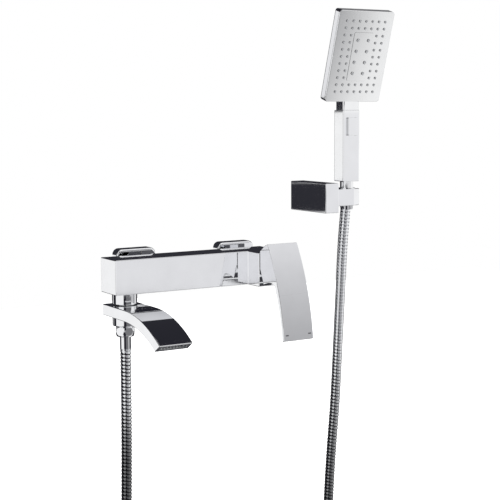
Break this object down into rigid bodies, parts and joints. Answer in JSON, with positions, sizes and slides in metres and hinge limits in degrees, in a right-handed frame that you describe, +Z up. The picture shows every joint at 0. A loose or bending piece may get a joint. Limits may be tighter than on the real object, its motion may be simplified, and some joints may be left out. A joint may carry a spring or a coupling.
{
  "type": "bath mixer",
  "caption": "Wall-mounted single-lever bath mixer with a swivelling waterfall spout, a ribbed hose, a tilting wall bracket and a rectangular hand shower.",
  "frame": {"origin": "midway between the axes of the two wall threads, on the face of the wall", "axes": "+X to the right along the mixer's bar, +Y into the wall, +Z up"},
  "size_m": [0.4014, 0.214, 0.9961],
  "materials": {
    "chromed_brass": "polished",
    "chromed_plastic": "chrome-plated, polished",
    "brass": "machined",
    "ceramic": "lapped ceramic",
    "cartridge_plastic": "moulded",
    "seal_rubber": "matt",
    "silicone": "soft silicone, matt",
    "steel": "bare",
    "face_plastic": "satin silver",
    "valve_plastic": "moulded",
    "hose_metal": "polished, double-locked",
    "mark_enamel": "enamel"
  },
  "bodies": {
    "root": {"bracket_cover": "chromed_brass", "bracket_grub_screw": "steel", "bracket_plate": "steel", "cartridge_housing": "cartridge_plastic", "cartridge_nut": "brass", "cartridge_seals": "seal_rubber", "ceramic_disc_fixed": "ceramic", "check_valve_cold": "valve_plastic", "check_valve_hot": "valve_plastic", "clip_friction_washer": "valve_plastic", "clip_pivot_bolt": "steel", "clip_spring_washer": "steel", "collar_washer": "valve_plastic", "column_seals": "seal_rubber", "eccentric_union_cold": "brass", "eccentric_union_hot": "brass", "escutcheon_cold": "chromed_brass", "escutcheon_hot": "chromed_brass", "hose_ferrule": "chromed_brass", "hose_nut": "chromed_brass", "hose_tail_mixer": "brass", "hose_washer_mixer": "seal_rubber", "inlet_tail_cold": "brass", "inlet_tail_hot": "brass", "mixer_body": "chromed_brass", "neck_sleeve": "chromed_brass", "neck_washer": "valve_plastic", "outlet_collar": "chromed_brass", "outlet_column": "chromed_brass", "shower_check_valve": "valve_plastic", "shower_hose": "hose_metal", "union_gasket_cold": "seal_rubber", "union_gasket_hot": "seal_rubber", "union_nut_cold": "chromed_brass", "union_nut_hot": "chromed_brass"},
    "spout": {"spout_shell": "chromed_brass", "flow_straightener": "valve_plastic"},
    "carrier": {"cartridge_carrier": "cartridge_plastic", "stem_pin": "steel"},
    "lever": {"lever_handle": "chromed_brass", "lever_stem": "brass", "lever_grub_screw": "steel", "lever_screw_cap": "cartridge_plastic", "lever_mark_hot": "mark_enamel", "lever_mark_cold": "mark_enamel"},
    "disc": {"ceramic_disc_moving": "ceramic"},
    "clip": {"hand_shower_clip": "chromed_brass"},
    "hand_shower": {"handset_handle": "chromed_plastic", "handset_water_tube": "chromed_plastic", "spring_seat": "valve_plastic", "button_spring": "steel", "head_back_shell": "chromed_plastic", "face_plate": "face_plastic", "centre_panel": "face_plastic", "nozzle_mat": "silicone", "hose_cone_nut": "chromed_brass", "hose_washer_handset": "seal_rubber"},
    "button": {"spray_button": "chromed_plastic"}
  },
  "joints": [
    {"name": "spout_swivel", "type": "hinge", "parent": "root", "child": "spout", "pos_m": [-0.113, -0.057, -0.034], "axis": [0, 0, 1], "range_deg": [-90, 90]},
    {"name": "lever_turn", "type": "hinge", "parent": "root", "child": "carrier", "pos_m": [0.0779, -0.092, 0.01], "axis": [0, -1, 0], "range_deg": [-45, 45]},
    {"name": "lever_lift", "type": "hinge", "parent": "carrier", "child": "lever", "pos_m": [0.0779, -0.092, 0.01], "axis": [1, 0, 0], "range_deg": [0, 18]},
    {"name": "disc_slide", "type": "slide", "parent": "carrier", "child": "disc", "axis": [0, 0, 1], "range_m": [0, 0.00384]},
    {"name": "clip_tilt", "type": "hinge", "parent": "root", "child": "clip", "pos_m": [0.1958, -0.066, 0.0962], "axis": [1, 0, 0], "range_deg": [-20, 20], "deforming": ["shower_hose"]},
    {"name": "hand_shower_lift", "type": "slide", "parent": "clip", "child": "hand_shower", "axis": [0, 0, 1], "range_m": [0, 0.016], "deforming": ["shower_hose"]},
    {"name": "button_press", "type": "slide", "parent": "hand_shower", "child": "button", "axis": [0, 1, 0], "range_m": [0, 0.002], "stiffness_N_per_m": 600, "springref_m": -0.002, "deforming": ["button_spring"]}
  ],
  "couplings": [
    {"joint": "disc_slide", "follows": "lever_lift", "m_per_rad": 0.0122}
  ]
}
